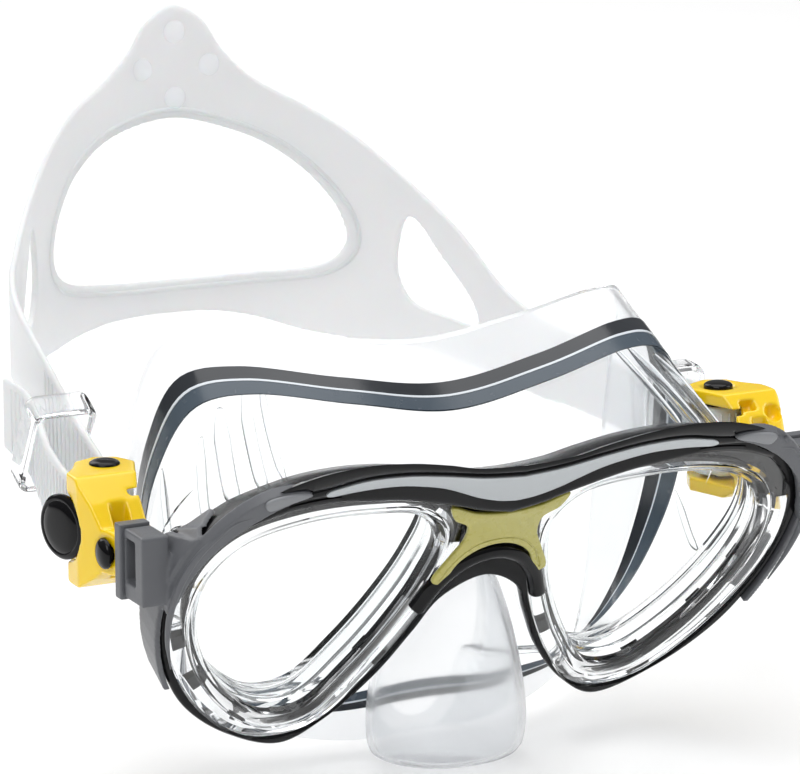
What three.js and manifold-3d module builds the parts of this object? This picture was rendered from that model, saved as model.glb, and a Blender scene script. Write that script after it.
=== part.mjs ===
// Two-lens snorkel mask with a soft skirt, two tilting side buckles and a one-piece headband.
//
// Units are millimetres. +X is the wearer's left, -Y the way the wearer looks, +Z up. Pieces named
// "right" are on the +X side, which is the right-hand side as seen from the front.
// Everything is placed from the lowest point of the lens frame, and the whole group is then
// moved so that the origin lies in the middle of the face seal, where the mask meets the face.

import * as THREE from "three";
import { mergeVertices } from "three/addons/utils/BufferGeometryUtils.js";
import Module from "manifold-3d";

const wasm = await Module();
wasm.setup();

// ---------------------------------------------------------------- driving dimensions

const SEAL_CENTRE = new THREE.Vector3(0, 24, 46);
const FRAME_LEAN = THREE.MathUtils.degToRad(28.5); // the lens plane leans forward at the top
const GAP = 0.3; // between pieces that touch

const LENS_THICKNESS = 3;
const LENS_MARGIN = 2; // how far a lens reaches under the clear frame
const RING_WIDTH = 6.2; // the clear frame's rim beside a lens
const RING_BROW_EXTRA = 2.6; // how much wider that rim is above a lens
const RING_FRONT = 0.5;
const RING_BACK = -2.7;
const RIM_FRONT = 1; // the black frame's outer rim stands proud of its seat
const FRAME_RIM = 1.2; // least width of that rim
const FRAME_BACK = -10;
const COVER_BACK = RIM_FRONT + GAP;
const COVER_FRONT = 4;
const BROW_SLOPE = 0.87; // how fast the brow falls away towards the back of the frame
const BROW_START = 64; // height in the lens plane where that slope begins
const BROW_FULL = 82;

const SKIRT_FRONT = FRAME_BACK - GAP;
const SKIRT_WALL = 1.8;
const SKIRT_POINTS = 42;
const NOSE_POINTS = 24;

const ROLLER_CENTRE = new THREE.Vector3(79.8, 7.3, 58.2);
const ROLLER_RADIUS = 4;
const ROLLER_HALF = 9;
const ROLLER_BORE = 2.1;
const PIN_RADIUS = 1.8;
const HUB_INNER = 9.3;
const HUB_OUTER = 12.6;
const CAP_RADIUS = 3.4;
const CAP_HEIGHT = 1;

const PIVOT = new THREE.Vector3(0, -19.2, -2.2); // tilt axis, from the roller's centre
const PIVOT_RADIUS = 2;
const PIVOT_HEAD = 3.6;
const BUCKLE_YAW = Math.atan2(0.28, 0.96); // the buckle's outer face looks a little forward

const BUTTON_RADIUS = 7.5;
const BUTTON_THICKNESS = 2.2;
const BUTTON_CENTRE = new THREE.Vector3(12.3, -2.6, 0);
const PAWL_PIVOT = new THREE.Vector3(6.2, -10.2, 0);
const PAWL_HALF = 4;

const BAND_THICKNESS = 1.8;
const WRAP_RADIUS = 5.3; // the strap's mid line round a roller

// Right-hand outlines in the lens plane, measured from the frame's lowest point.
const LENS_OUTLINE = [
  [15.5, 62], [21, 68.8], [34, 71.3], [50, 71], [63, 67], [69.5, 59], [70.8, 48], [66.5, 34],
  [57, 20], [46.5, 11.9], [37.5, 12.6], [29, 23.5], [21.5, 37.5], [17, 50],
];
const FRAME_OUTLINE = [
  [0, 84.8], [12, 85.8], [20, 88], [30, 90.2], [40, 91], [50, 90.2], [58, 88], [66, 84.6],
  [73.6, 77.6], [79.3, 66], [80.6, 52], [77.5, 36],
  [69.5, 20.5], [56, 8.5], [41, 2.6], [31, 8.8], [21, 21], [14.5, 33.5], [9.5, 43.5], [0, 48.5],
];
const COVER_OUTLINE = [
  [0, 84.6], [12, 85.6], [20, 87.8], [30, 90], [40, 90.8], [50, 90], [58, 87.8], [65, 83.6],
  [66.4, 78], [63, 77.2], [57, 79.4], [48, 80.4], [36, 79.2], [24, 76.8], [12, 73.2], [0, 70],
];
const INLAY_OUTLINE = [
  [0, 82], [10, 83], [20, 85], [30, 86.7], [40, 86.9], [47, 86.2], [48.6, 84.6], [46, 83.6],
  [34, 83.9], [25, 82.5], [17, 79.8], [10, 76.7], [4, 74.6], [0, 74.2],
];
const TRIM_OUTLINE = [
  [0, 69.4], [8, 70.4], [15, 73], [13.4, 69], [9.6, 66.4], [9.4, 62], [11.6, 57.4],
  [14.6, 50.2], [12, 49.2], [8.8, 55.6], [4.4, 58.9], [0, 59.8],
];
const BRACKET_OUTLINE = [
  [53, 85.6], [58, 86.6], [64, 85.4], [71, 80.6], [77.2, 72.4], [80.6, 64], [81.8, 57],
  [81.2, 53.6], [79.6, 56.4], [77.8, 63], [74.6, 69.6], [69, 76], [62, 81],
];

// The face seal, right half from the forehead round to the upper lip, and where each of its
// points starts in the lens plane.
const SEAL_POINTS = [
  [0, 8, 91], [26, 9, 94], [49, 14, 96.6], [59.4, 20, 94], [63.5, 28.5, 78], [64, 34, 56],
  [62.4, 35, 36], [57, 30, 16], [46, 20, 3], [24, 12, -4], [0, 11, -5.5],
];
const SKIRT_START = [
  [0, 69.6], [24, 74], [47, 75.6], [63, 71], [72, 61], [74.5, 50], [71, 36], [61, 20], [46, 8],
  [24, 8], [0, 12],
];

// Nose pocket sections: height, half width, front and back.
const NOSE_SECTIONS = [
  [-5.4, 15.5, -17, 10], [-3.5, 18.2, -21, 12], [4, 18.6, -24, 14], [14, 17, -25, 14],
  [24, 14.2, -24.6, 10], [33, 11, -23, 4], [40, 7.6, -20.4, -4], [43, 5, -18, -8],
];

// The headband, from the back of the head to a roller: x, y, lower edge, upper edge. The left
// side rises to the back of the head more steeply than the right.
const BAND_RIGHT = [
  [7.6, 145.8, 68.2, 145], [13.3, 144.8, 67.6, 136.5], [21, 142.3, 66, 129],
  [32, 136.3, 62.5, 122.4], [41, 129, 61, 116], [51, 118, 59.5, 105.5], [60, 103.5, 57, 92.8],
  [66.5, 91, 54.5, 79.5], [71, 82, 52.5, 74], [77, 64, 50.4, 70], [78.5, 44, 49.9, 67.6],
  [76, 24, 49.7, 66.9],
];
const BAND_LEFT = [
  [-7.6, 145.8, 68.6, 145], [-13.3, 144.8, 68.6, 137.5], [-21, 142.3, 68.4, 131.5],
  [-32, 136.3, 67.4, 126], [-41, 129, 66.4, 119.5], [-51, 118, 66.4, 110], [-60, 103.5, 68, 104],
  [-66.5, 91, 70.6, 101], [-71, 82, 73, 99], [-77, 64, 75, 95.6], [-78.5, 44, 67.6, 87],
  [-75.8, 26, 54.6, 72.6], [-74.9, 15, 49.9, 67.2],
];
const BAND_PEAK = [0, 146.3, 68.4, 148.8];
const TAIL_RIGHT = [[85.6, 22, 50, 67], [85.6, 38, 51, 68], [87.4, 47, 52.6, 68]];
const TAIL_LEFT = [
  [-85.2, 15, 49.9, 67.2], [-85.6, 25, 53.4, 71], [-85.6, 38, 62.4, 81], [-87.4, 47, 66, 83],
];
const BIG_HOLE = [
  [0, 119.6], [12, 116.8], [24, 111.6], [34, 103], [40, 93], [40.6, 85.4], [36, 80.4], [20, 78],
  [0, 77.4], [-20, 78.6], [-36, 82.6], [-41, 88], [-40.6, 96], [-34, 107], [-24, 114.4],
  [-12, 118.4],
];
const SMALL_HOLE = [[-8, 14], [-11, 0], [-7, -8], [4, -11], [13, -12], [12, -7], [1, 6], [-5, 13]];

// ---------------------------------------------------------------- materials

function material(color, roughness, metalness = 0, opacity = 1) {
  return new THREE.MeshStandardMaterial({
    color, roughness, metalness, opacity, transparent: opacity < 1,
  });
}

const blackPlastic = material(0x111214, 0.35);
const glossBlack = material(0x08090b, 0.08);
const silver = material(0xb9bdc2, 0.3, 0.6);
const oliveYellow = material(0xb9a52c, 0.35);
const clearPlastic = material(0xe9eef0, 0.08, 0, 0.4);
const glass = material(0xf4f8f8, 0.02, 0, 0.25);
const clearSilicone = material(0xe8eef2, 0.18, 0, 0.5);
const frostedSilicone = material(0xe9ebec, 0.45, 0, 0.85);
const greyPlastic = material(0x62646a, 0.45);
const yellowPlastic = material(0xf6cf0c, 0.3);
const darkSteel = material(0x3c3d40, 0.35, 0.8);

// ---------------------------------------------------------------- solids

function toSolid(geometry) {
  const bare = geometry.clone();
  bare.deleteAttribute("normal");
  bare.deleteAttribute("uv");
  const merged = mergeVertices(bare, 1e-4);
  const mesh = new wasm.Mesh({
    numProp: 3,
    vertProperties: new Float32Array(merged.attributes.position.array),
    triVerts: new Uint32Array(merged.index.array),
  });
  return new wasm.Manifold(mesh);
}

function toGeometry(solid) {
  const mesh = solid.getMesh();
  const geometry = new THREE.BufferGeometry();
  geometry.setAttribute("position", new THREE.BufferAttribute(mesh.vertProperties, 3));
  geometry.setIndex(new THREE.BufferAttribute(mesh.triVerts, 1));
  geometry.computeVertexNormals();
  return geometry;
}

function unite(geometries) {
  return geometries.map(toSolid).reduce((whole, piece) => whole.add(piece));
}

function cut(geometry, cutters) {
  return toGeometry(
    cutters.map(toSolid).reduce((rest, cutter) => rest.subtract(cutter), toSolid(geometry)),
  );
}

function mirrored(geometry) {
  const copy = geometry.index ? geometry.toNonIndexed() : geometry.clone();
  const position = copy.attributes.position;
  const corner = new THREE.Vector3();
  const last = new THREE.Vector3();
  for (let i = 0; i < position.count; i += 3) {
    corner.fromBufferAttribute(position, i + 1);
    last.fromBufferAttribute(position, i + 2);
    position.setXYZ(i, -position.getX(i), position.getY(i), position.getZ(i));
    position.setXYZ(i + 1, -last.x, last.y, last.z);
    position.setXYZ(i + 2, -corner.x, corner.y, corner.z);
  }
  copy.deleteAttribute("normal");
  const whole = mergeVertices(copy, 1e-4);
  whole.computeVertexNormals();
  return whole;
}

// ---------------------------------------------------------------- outlines

function smoothClosed(points, count) {
  const curve = new THREE.CatmullRomCurve3(
    points.map(([u, v]) => new THREE.Vector3(u, v, 0)), true, "centripetal",
  );
  return curve.getSpacedPoints(count).slice(0, count).map((p) => new THREE.Vector2(p.x, p.y));
}

// A right half that starts and ends on the middle line becomes the whole closed outline.
function bothHalves(half) {
  const left = half.slice(1, -1).reverse().map(([u, v]) => [-u, v]);
  return half.concat(left);
}

function offsetOutline(points, distance) {
  const sign = THREE.ShapeUtils.isClockWise(points) ? -1 : 1;
  return points.map((point, i) => {
    const before = points[(i + points.length - 1) % points.length];
    const after = points[(i + 1) % points.length];
    const along = after.clone().sub(before).normalize();
    const normal = new THREE.Vector2(along.y, -along.x).multiplyScalar(sign);
    const reach = typeof distance === "function" ? distance(normal) : distance;
    return point.clone().addScaledVector(normal, reach);
  });
}

function flipOutline(points) {
  return points.map((p) => new THREE.Vector2(-p.x, p.y)).reverse();
}

function prism(points, low, high) {
  const shape = new THREE.Shape(points.map((p) => (Array.isArray(p) ? new THREE.Vector2(...p) : p)));
  const geometry = new THREE.ExtrudeGeometry(shape, { depth: high - low, bevelEnabled: false });
  return geometry.translate(0, 0, low);
}

// The same, standing on another plane: `toX` extrudes a (y, z) outline, `toY` an (x, z) one.
function prismAlongX(points, low, high) {
  return prism(points, low, high).rotateX(Math.PI / 2).rotateZ(Math.PI / 2);
}

function prismAlongY(points, low, high) {
  return prism(points, -high, -low).rotateX(Math.PI / 2);
}

function disc(radius, low, high, segments = 24) {
  return new THREE.CylinderGeometry(radius, radius, high - low, segments)
    .rotateX(Math.PI / 2)
    .translate(0, 0, (low + high) / 2);
}

function box(min, max) {
  const size = max.map((value, i) => value - min[i]);
  const centre = max.map((value, i) => (value + min[i]) / 2);
  return new THREE.BoxGeometry(...size).translate(...centre);
}

// A closed skin through rings of points, with a fan over each end.
function loft(rings) {
  const count = rings[0].length;
  const points = rings.flat();
  const positions = points.flatMap((p) => [p.x, p.y, p.z]);
  const indices = [];
  for (let r = 0; r + 1 < rings.length; r += 1) {
    for (let i = 0; i < count; i += 1) {
      const a = r * count + i;
      const b = r * count + ((i + 1) % count);
      indices.push(a, b, b + count, a, b + count, a + count);
    }
  }
  [0, rings.length - 1].forEach((r, end) => {
    const middle = rings[r].reduce((sum, p) => sum.add(p), new THREE.Vector3()).divideScalar(count);
    positions.push(middle.x, middle.y, middle.z);
    for (let i = 0; i < count; i += 1) {
      const a = r * count + i;
      const b = r * count + ((i + 1) % count);
      indices.push(points.length + end, end ? a : b, end ? b : a);
    }
  });
  const geometry = new THREE.BufferGeometry();
  geometry.setAttribute("position", new THREE.Float32BufferAttribute(positions, 3));
  geometry.setIndex(indices);
  return geometry;
}

// ---------------------------------------------------------------- the object

const mask = new THREE.Group();
mask.position.copy(SEAL_CENTRE).negate();

// In this group X runs across the lenses, Y up their plane and Z out of their front.
const front = new THREE.Group();
front.rotation.x = Math.PI / 2 + FRAME_LEAN;
front.updateMatrix();
mask.add(front);

const buckles = { right: new THREE.Group(), left: new THREE.Group() };
buckles.right.position.copy(ROLLER_CENTRE);
buckles.left.position.set(-ROLLER_CENTRE.x, ROLLER_CENTRE.y, ROLLER_CENTRE.z);
mask.add(buckles.right, buckles.left);

function addPiece(group, name, geometry, look) {
  const piece = new THREE.Mesh(geometry, look);
  piece.name = name;
  group.add(piece);
}

function addPair(groups, name, geometry, look) {
  addPiece(groups.right ?? groups, `${name}_right`, geometry, look);
  addPiece(groups.left ?? groups, `${name}_left`, mirrored(geometry), look);
}

function inFrontGroup(geometry) {
  return geometry.applyMatrix4(front.matrix);
}

// ---------------------------------------------------------------- front: frame and lenses

const lens = smoothClosed(LENS_OUTLINE, 40);
const ringOuter = offsetOutline(lens, (n) => RING_WIDTH + RING_BROW_EXTRA * Math.max(0, n.y) ** 2);
const frameOutline = smoothClosed(bothHalves(FRAME_OUTLINE), 92);

// The frame's outline at a depth: the brow leans away behind its front edge.
function frameAt(depth, reach = 0) {
  return offsetOutline(frameOutline, reach).map((p) => new THREE.Vector3(
    p.x,
    p.y - BROW_SLOPE * (COVER_FRONT - depth) * THREE.MathUtils.smoothstep(p.y, BROW_START, BROW_FULL),
    depth,
  ));
}

function frameBlock(low, high, reach = 0) {
  return loft([frameAt(high, reach), frameAt(low, reach)]);
}

function onBothSides(points, low, high) {
  return [prism(points, low, high), prism(flipOutline(points), low, high)];
}

function bridgePlate(low, high) {
  return prism([
    [-18, 53], [-13, 50.5], [0, 58.6], [13, 50.5], [18, 53], [20, 74], [0, 70.6], [-20, 74],
  ], low, high);
}

function makeInnerFrame() {
  const windows = onBothSides(offsetOutline(lens, LENS_MARGIN + GAP), FRAME_BACK - 1, 2);
  const seat = onBothSides(offsetOutline(ringOuter, GAP), RING_BACK - GAP, 5);
  const bridgeSeat = bridgePlate(RING_BACK - GAP, 5);
  return cut(frameBlock(FRAME_BACK, RIM_FRONT), [...windows, ...seat, bridgeSeat]);
}

function makeFrontFrame() {
  const rings = unite([
    ...onBothSides(ringOuter, RING_BACK, RING_FRONT), bridgePlate(RING_BACK, RING_FRONT),
  ]);
  const inside = toSolid(frameBlock(RING_BACK - 1, RING_FRONT + 1, -FRAME_RIM));
  const windows = onBothSides(lens, RING_BACK - 1, RING_FRONT + 1).map(toSolid);
  return toGeometry(windows.reduce((rest, window) => rest.subtract(window), rings.intersect(inside)));
}

const INLAY_DEPTH = 1; // of the groove that the inlay lies in
const inlayOutline = smoothClosed(bothHalves(INLAY_OUTLINE), 60);
const bracketOutline = smoothClosed(BRACKET_OUTLINE, 54);

function makeBrowCover() {
  const outline = prism(smoothClosed(bothHalves(COVER_OUTLINE), 64), COVER_BACK, COVER_FRONT);
  const cover = toSolid(outline).intersect(toSolid(frameBlock(COVER_BACK - 1, COVER_FRONT)));
  const groove = prism(offsetOutline(inlayOutline, GAP), COVER_FRONT - INLAY_DEPTH, COVER_FRONT + 1);
  const spears = onBothSides(offsetOutline(bracketOutline, GAP), RIM_FRONT, COVER_FRONT + 1);
  return toGeometry(cover.subtract(toSolid(groove)).subtract(unite(spears)));
}

addPiece(front, "inner_frame", makeInnerFrame(), blackPlastic);
addPiece(front, "front_frame", makeFrontFrame(), clearPlastic);
addPiece(front, "brow_cover", makeBrowCover(), glossBlack);
addPiece(front, "brow_inlay",
  prism(inlayOutline, COVER_FRONT - INLAY_DEPTH + GAP, COVER_FRONT + 0.2), silver);
addPiece(front, "bridge_trim",
  prism(smoothClosed(bothHalves(TRIM_OUTLINE), 60), COVER_BACK, COVER_BACK + 1.2), oliveYellow);

const LENS_FRONT = RING_BACK - GAP;
const LENS_BACK = LENS_FRONT - LENS_THICKNESS;
addPair(front, "lens", prism(offsetOutline(lens, LENS_MARGIN), LENS_BACK, LENS_FRONT), glass);
addPair(front, "lens_gasket",
  cut(prism(offsetOutline(lens, LENS_MARGIN), FRAME_BACK, LENS_BACK - GAP),
    [prism(lens, FRAME_BACK - 1, 0)]),
  clearSilicone);

// ---------------------------------------------------------------- skirt

function ringThrough(points) {
  const curve = new THREE.CatmullRomCurve3(points, true, "centripetal");
  const ring = [];
  for (let i = 0; i < SKIRT_POINTS; i += 1) {
    ring.push(curve.getPoint(i / SKIRT_POINTS));
  }
  return ring;
}

function closeHalf(half) {
  const left = half.slice(1, -1).reverse().map((p) => new THREE.Vector3(-p.x, p.y, p.z));
  return half.concat(left);
}

function startRing(depth) {
  return closeHalf(SKIRT_START.map(
    ([u, v]) => new THREE.Vector3(u, v, depth).applyMatrix4(front.matrix),
  ));
}

function shrink(ring, distance, shift = 0) {
  const middle = ring.reduce((sum, p) => sum.add(p), new THREE.Vector3()).divideScalar(ring.length);
  return ring.map((p) => {
    const spoke = p.clone().sub(middle);
    const moved = p.clone().addScaledVector(spoke.normalize(), -distance);
    moved.y += shift;
    return moved;
  });
}

// The skirt leaves the frame square to it, then swings round to the face.
function skirtRings(startDepth) {
  const start = startRing(startDepth);
  const straight = startRing(startDepth - 9);
  const seal = closeHalf(SEAL_POINTS.map((p) => new THREE.Vector3(...p)));
  const at = (t) => start.map((p, i) => {
    const early = p.clone().lerp(straight[i], t);
    return early.lerp(seal[i], t * t * (3 - 2 * t) * (1 - 0.35 * (1 - t)));
  });
  return [0, 0.25, 0.5, 0.75, 1].map((t) => ringThrough(at(t)));
}

function noseRing([z, halfWidth, low, high], inset) {
  const ring = [];
  const middle = (low + high) / 2;
  for (let i = 0; i < NOSE_POINTS; i += 1) {
    const angle = (i / NOSE_POINTS) * 2 * Math.PI;
    ring.push(new THREE.Vector3(
      (halfWidth - inset) * Math.cos(angle), middle + (middle - low - inset) * Math.sin(angle), z,
    ));
  }
  return ring;
}

function makeSkirt() {
  const rings = skirtRings(SKIRT_FRONT);
  const outside = toSolid(loft(rings));
  const hollow = skirtRings(SKIRT_FRONT - SKIRT_WALL).map((ring) => shrink(ring, SKIRT_WALL));
  hollow.push(shrink(rings[rings.length - 1], SKIRT_WALL, 6));
  const inside = toSolid(loft(hollow));
  const nose = toSolid(loft(NOSE_SECTIONS.map((section) => noseRing(section, 0))));
  const last = NOSE_SECTIONS.length - 1;
  const noseHollow = toSolid(loft(NOSE_SECTIONS.map(([z, ...rest], i) => {
    const lift = i === 0 ? SKIRT_WALL : i === last ? -SKIRT_WALL : 0;
    return noseRing([z + lift, ...rest], SKIRT_WALL);
  })));
  const windows = onBothSides(lens, SKIRT_FRONT - 8, SKIRT_FRONT + 1)
    .map((window) => toSolid(inFrontGroup(window)));
  const shell = outside.add(nose).subtract(inside).subtract(noseHollow);
  return toGeometry(windows.reduce((rest, window) => rest.subtract(window), shell));
}

addPiece(mask, "skirt", makeSkirt(), clearSilicone);

// ---------------------------------------------------------------- side brackets

const LUG_X = [1.4, 4.6]; // the lug's tab between the buckle's cheeks, from the roller's centre
const TAB_RADIUS = 4.6;
const CHEEK_RADIUS = 5.2; // the cheeks' rounded ends, so that the buckle can tilt past the lug
const LUG_BLOCK = { min: [81.2, -20.8, 47.6], max: [88.4, -17.6, 64.6] };
const BRACKET_ARM = { min: [81.1, -31, 48.4], max: [87.6, -21.1, 64] };
const BRACKET_BACK = -8;
const BRACKET_FRONT = COVER_BACK + 0.6; // of its side wall
const BRACKET_WALL = 1.6;

function makeBracket() {
  const plate = prism(bracketOutline, COVER_BACK, COVER_FRONT + 0.4);
  const inner = frameBlock(FRAME_BACK, COVER_FRONT + 2, GAP);
  const side = cut(frameBlock(BRACKET_BACK, BRACKET_FRONT, BRACKET_WALL), [inner]);
  const reach = prism([[70, 27.6], [95, 27.6], [95, 74], [70, 74]], FRAME_BACK, COVER_FRONT + 2);
  const wall = toSolid(side).intersect(toSolid(reach));
  const arm = box(BRACKET_ARM.min, BRACKET_ARM.max);
  const wedge = box([84.6, -27, 52], [90, -21.6, 62]);
  const lugSpace = box([80, LUG_BLOCK.min[1] - GAP, 47], [95, -5, 66]);
  return toGeometry(unite([inFrontGroup(plate), inFrontGroup(toGeometry(wall)), arm])
    .subtract(toSolid(wedge))
    .subtract(toSolid(lugSpace)));
}

function pivotHole(low, high) {
  return disc(PIVOT_RADIUS + GAP, low, high)
    .rotateY(Math.PI / 2)
    .translate(0, PIVOT.y, PIVOT.z);
}

function makeLug() {
  const block = box(LUG_BLOCK.min, LUG_BLOCK.max);
  const neck = box(
    [LUG_X[0], -25.6, PIVOT.z - TAB_RADIUS], [LUG_X[1], PIVOT.y, PIVOT.z + TAB_RADIUS],
  );
  const eye = disc(TAB_RADIUS, LUG_X[0], LUG_X[1])
    .rotateY(Math.PI / 2)
    .translate(0, PIVOT.y, PIVOT.z);
  const tab = toGeometry(unite([neck, eye]))
    .translate(ROLLER_CENTRE.x, ROLLER_CENTRE.y, ROLLER_CENTRE.z);
  const hole = pivotHole(-2, 12).translate(ROLLER_CENTRE.x, ROLLER_CENTRE.y, ROLLER_CENTRE.z);
  return toGeometry(unite([block, tab]).subtract(toSolid(hole)));
}

addPair(mask, "side_bracket", makeBracket(), greyPlastic);
addPair(mask, "bracket_lug", makeLug(), greyPlastic);

// ---------------------------------------------------------------- buckles

function alongButton(geometry) {
  return geometry
    .rotateY(Math.PI / 2)
    .rotateZ(-BUCKLE_YAW)
    .translate(BUTTON_CENTRE.x, BUTTON_CENTRE.y, BUTTON_CENTRE.z);
}

function makeBuckleBody() {
  const plan = prism([
    [-5.2, 5.2], [-7.4, 0], [-5.2, -5.2], [-2.8, -12], [-2.8, -25], [6.4, -25], [8, -19.2],
    [10.9, -9.6], [10.6, -3], [7.4, 1], [5.2, 5.2], [0, 7.4],
  ], -HUB_OUTER, HUB_OUTER);
  const cheekEnd = [];
  for (let angle = 70; angle <= 290; angle += 20) {
    const turn = THREE.MathUtils.degToRad(angle);
    cheekEnd.push([PIVOT.y + CHEEK_RADIUS * Math.cos(turn), PIVOT.z + CHEEK_RADIUS * Math.sin(turn)]);
  }
  const profile = prismAlongX([
    [9, HUB_OUTER], [-8.5, HUB_OUTER], [-14, 7.4], ...cheekEnd, [-14, -9.6], [-9, -HUB_OUTER],
    [9, -HUB_OUTER],
  ], -12, 14);
  const strapSpace = disc(WRAP_RADIUS + 1.7, -HUB_INNER, HUB_INNER, 28);
  const behind = box([-12, -4.6, -HUB_INNER], [8.2, 12, HUB_INNER]);
  const inboard = prism(
    [[-12, 12], [-12, -12.6], [-0.6, -12.6], [3.6, -4], [3.6, 12]], -HUB_INNER, HUB_INNER,
  );
  const clevis = box([LUG_X[0] - 0.4, -30, -14], [LUG_X[1] + 0.4, -13.6, 12]);
  const headSeat = disc(PIVOT_HEAD + GAP, 8.1, 14)
    .rotateY(Math.PI / 2)
    .translate(0, PIVOT.y, PIVOT.z);
  const buttonSpace = alongButton(disc(BUTTON_RADIUS + 0.5, -4.2, 6, 28));
  const pawlSpace = prism([
    [-2, -5], [-2, -10.8], [3, -12.2], [8, -12.2], [9.2, -9], [9.8, 0], [4, 0],
  ], -PAWL_HALF - 0.4, PAWL_HALF + 0.4);
  const pinHole = disc(ROLLER_BORE, -15, 15, 20);
  const body = toGeometry(toSolid(plan).intersect(toSolid(profile)));
  return cut(body, [
    strapSpace, behind, inboard, clevis, headSeat, buttonSpace, pawlSpace, pinHole,
    pivotHole(-6, 14),
  ]);
}

function makePivotPin() {
  const shank = disc(PIVOT_RADIUS, -2.6, 8.6, 24);
  const head = new THREE.LatheGeometry([
    [0, 8.4], [PIVOT_HEAD, 8.4], [PIVOT_HEAD, 8.9], [PIVOT_HEAD - 0.9, 9.8], [0, 10.2],
  ].map(([r, x]) => new THREE.Vector2(r, x)), 24).rotateX(Math.PI / 2);
  return toGeometry(unite([shank, head]))
    .rotateY(Math.PI / 2)
    .translate(0, PIVOT.y, PIVOT.z);
}

function makeRollerPin() {
  const capLow = HUB_OUTER + GAP;
  return toGeometry(unite([
    disc(PIN_RADIUS, -capLow - 0.1, capLow + 0.1, 20),
    disc(CAP_RADIUS, capLow, capLow + CAP_HEIGHT),
    disc(CAP_RADIUS, -capLow - CAP_HEIGHT, -capLow),
  ]));
}

function makeButton() {
  const rim = BUTTON_RADIUS;
  const profile = [
    [0, -2.9], [1.6, -2.9], [1.6, -BUTTON_THICKNESS], [rim - 1, -BUTTON_THICKNESS],
    [rim, -1.4], [rim, -0.7], [rim - 1, -0.1], [rim - 3.4, 0.3], [0, 0.4],
  ];
  return alongButton(new THREE.LatheGeometry(profile.map(([r, h]) => new THREE.Vector2(r, h)), 28)
    .rotateX(Math.PI / 2));
}

function makePawl() {
  const lever = prism([
    [4.8, -11.4], [7.2, -11.4], [7.3, -8.2], [8.6, -1], [7.8, -0.8], [6.7, -6.6], [5, -8.4],
    [1.4, -8.2], [0.5, -6.9], [-0.6, -7.6], [-0.8, -9.6], [3, -10.6],
  ], -PAWL_HALF, PAWL_HALF);
  const hole = disc(0.8, -6, 6, 12).translate(PAWL_PIVOT.x, PAWL_PIVOT.y, 0);
  return cut(lever, [hole]);
}

addPair(buckles, "buckle_body", makeBuckleBody(), yellowPlastic);
addPair(buckles, "pivot_pin", makePivotPin(), glossBlack);
addPair(buckles, "roller",
  cut(disc(ROLLER_RADIUS, -ROLLER_HALF, ROLLER_HALF), [disc(ROLLER_BORE, -12, 12, 20)]), darkSteel);
addPair(buckles, "roller_pin", makeRollerPin(), glossBlack);
addPair(buckles, "release_button", makeButton(), glossBlack);
addPair(buckles, "button_spring",
  alongButton(cut(disc(3.1, -2.8, -BUTTON_THICKNESS - 0.1, 16), [disc(2.2, -4, 0, 16)])), darkSteel);
addPair(buckles, "pawl", makePawl(), blackPlastic);
addPair(buckles, "pawl_pin",
  disc(0.6, -PAWL_HALF - 0.4, PAWL_HALF + 0.4, 12).translate(PAWL_PIVOT.x, PAWL_PIVOT.y, 0), darkSteel);

// ---------------------------------------------------------------- headband

function wrapStations(side) {
  const stations = [];
  for (let step = 0; step <= 6; step += 1) {
    const angle = Math.PI + (step / 6) * Math.PI;
    stations.push([
      side * (ROLLER_CENTRE.x + WRAP_RADIUS * Math.cos(angle)),
      ROLLER_CENTRE.y + WRAP_RADIUS * Math.sin(angle),
      ROLLER_CENTRE.z - ROLLER_HALF + 0.4,
      ROLLER_CENTRE.z + ROLLER_HALF - 0.4,
    ]);
  }
  return stations;
}

function bentBand(stations, thickness, segments) {
  const edge = (index) => new THREE.CatmullRomCurve3(
    stations.map((s) => new THREE.Vector3(s[0], s[1], s[index])), false, "centripetal",
  );
  const lower = edge(2);
  const upper = edge(3);
  const band = new THREE.BoxGeometry(1, 1, 1, segments, 1, 1);
  const position = band.attributes.position;
  for (let i = 0; i < position.count; i += 1) {
    const t = position.getX(i) + 0.5;
    const along = lower.getTangent(t);
    const outward = new THREE.Vector3(along.y, -along.x, 0).normalize();
    const point = lower.getPoint(t).lerp(upper.getPoint(t), position.getY(i) + 0.5);
    point.addScaledVector(outward, thickness * position.getZ(i));
    position.setXYZ(i, point.x, point.y, point.z);
  }
  return band;
}

function makeHeadband() {
  const right = [...BAND_RIGHT, ...wrapStations(1), ...TAIL_RIGHT];
  const left = [...BAND_LEFT, ...wrapStations(-1), ...TAIL_LEFT].reverse();
  const band = bentBand([...left, BAND_PEAK, ...right], BAND_THICKNESS, 132);
  const bigHole = prismAlongY(smoothClosed(BIG_HOLE, 44), 100, 160);
  const smallHole = prismAlongY(smoothClosed(SMALL_HOLE, 20), -12, 12);
  const rightHole = smallHole.clone().rotateZ(-0.9).translate(56.5, 109.5, 80.5);
  const leftHole = mirrored(smallHole).rotateZ(0.9).translate(-56.5, 109.5, 87);
  return cut(band, [bigHole, rightHole, leftHole]);
}

function keeperLoop(height) {
  const outer = box([-8, -3.5, -height / 2 - 1.6], [8, 3.5, height / 2 + 1.6]);
  const inner = box([-6.4, -6, -height / 2], [6.4, 6, height / 2]);
  return cut(outer, [inner]);
}

function addKeeper(name, x, z, rise, height) {
  addPiece(mask, name, keeperLoop(height).rotateX(rise).translate(x, 33, z), clearPlastic);
}

addPiece(mask, "headband", makeHeadband(), frostedSilicone);
addKeeper("strap_keeper_right", 81.5, 58.8, 0.06, 20.4);
addKeeper("strap_keeper_left", -81.5, 70, 0.5, 21);

export default mask;
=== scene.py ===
import math

import bmesh
import bpy
import numpy as np
from mathutils import Matrix, Vector


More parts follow.
